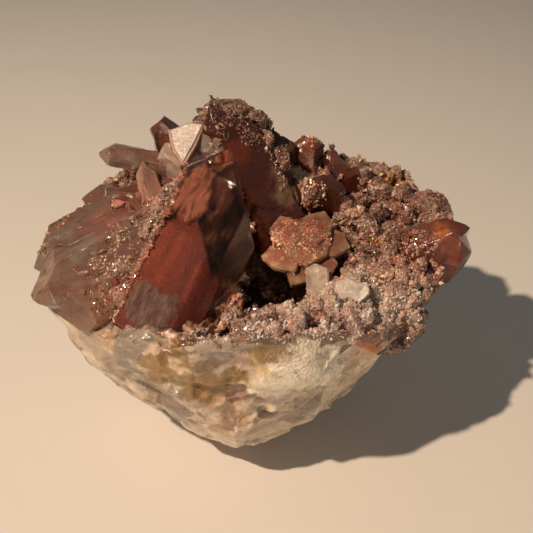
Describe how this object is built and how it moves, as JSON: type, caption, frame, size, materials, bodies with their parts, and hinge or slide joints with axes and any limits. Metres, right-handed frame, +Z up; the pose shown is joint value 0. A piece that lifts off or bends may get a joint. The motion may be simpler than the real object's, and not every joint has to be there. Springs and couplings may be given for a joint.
{
  "type": "ferruginous quartz cluster",
  "caption": "Hand-sized cluster of iron-stained quartz crystals round a hollow, grown on a tapering milky quartz root with a flat broken foot.",
  "frame": {"origin": "middle of the outline seen from above, at the height of the flat foot", "axes": "+X along the long side of the cluster, +Y to its back, where the second large crystal stands, +Z up"},
  "size_m": [0.0892, 0.0582, 0.0733],
  "materials": {
    "milky_quartz": "broken faces with a waxy lustre, stained yellow and grey",
    "red_quartz": "glossy crystal faces over a red zone of iron oxide",
    "smoky_quartz": "glossy crystal faces, smoky and partly clear",
    "iron_crust": "sparkling crust of small points, maroon to pink",
    "ochre": "matt earthy patches"
  },
  "bodies": {
    "root": {"quartz_cluster": "milky_quartz"}
  },
  "joints": []
}
